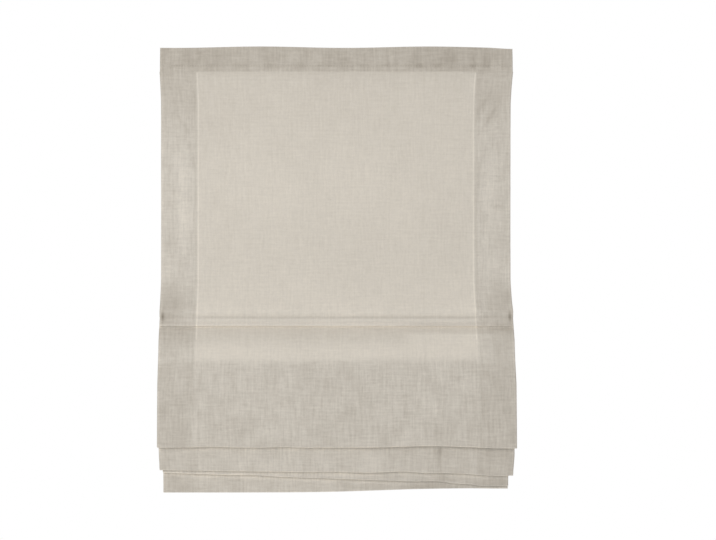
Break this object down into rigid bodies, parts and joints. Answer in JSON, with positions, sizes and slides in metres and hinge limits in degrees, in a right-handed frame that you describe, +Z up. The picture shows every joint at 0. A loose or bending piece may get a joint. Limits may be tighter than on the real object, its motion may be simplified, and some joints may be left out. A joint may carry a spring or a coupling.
{
  "type": "roman blind",
  "caption": "Sheer linen roman blind with sewn rod ribs, partly raised into hanging folds, on an aluminium head rail with a cord lock and wall brackets.",
  "frame": {"origin": "on the wall, midway between the two bracket screw holes", "axes": "+X to the right seen from the room, +Y into the wall, +Z up"},
  "size_m": [0.45, 0.0529, 0.567],
  "materials": {
    "linen": "sheer natural linen",
    "loop_tape": "woven loop tape",
    "hook_tape": "moulded hook tape",
    "rail": "satin anodised",
    "steel": "zinc plated",
    "nylon": "moulded nylon",
    "pulley": "smooth acetal",
    "rod": "glass-fibre rod",
    "ring": "moulded ring",
    "cord": "braided polyester"
  },
  "bodies": {
    "blind": {"blind_cloth": "linen", "loop_tape": "loop_tape", "hook_tape": "hook_tape", "head_rail": "rail", "end_cap_left": "nylon", "end_cap_right": "nylon", "bracket_left": "steel", "bracket_right": "steel", "cord_guide_left": "nylon", "cord_guide_right": "nylon", "pulley_axle_left": "steel", "pulley_axle_right": "steel", "lock_housing": "nylon", "lock_axle": "steel", "lift_cord_left": "cord", "lift_cord_right": "cord", "hem_bar": "rail", "rib_rod_1": "rod", "rib_rod_2": "rod", "rib_rod_3": "rod", "rib_rod_4": "rod", "ring_left_1": "ring", "ring_left_2": "ring", "ring_left_3": "ring", "ring_left_4": "ring", "ring_right_1": "ring", "ring_right_2": "ring", "ring_right_3": "ring", "ring_right_4": "ring"},
    "pulley_left": {"pulley_left": "pulley"},
    "pulley_right": {"pulley_right": "pulley"},
    "lock_roller": {"lock_roller": "pulley"},
    "lock_pin": {"lock_pin": "steel"}
  },
  "joints": [
    {"name": "pulley_left_spin", "type": "hinge", "parent": "blind", "child": "pulley_left", "pos_m": [-0.117, -0.028, 0.001], "axis": [0, 1, 0], "continuous": true},
    {"name": "pulley_right_spin", "type": "hinge", "parent": "blind", "child": "pulley_right", "pos_m": [0.107, -0.034, 0.001], "axis": [0, 1, 0], "continuous": true},
    {"name": "lock_roller_spin", "type": "hinge", "parent": "blind", "child": "lock_roller", "pos_m": [-0.197, -0.031, 0.001], "axis": [0, 1, 0], "continuous": true},
    {"name": "lock_pin_slide", "type": "slide", "parent": "blind", "child": "lock_pin", "axis": [-0.6, 0, 0.8], "range_m": [0, 0.004]}
  ]
}
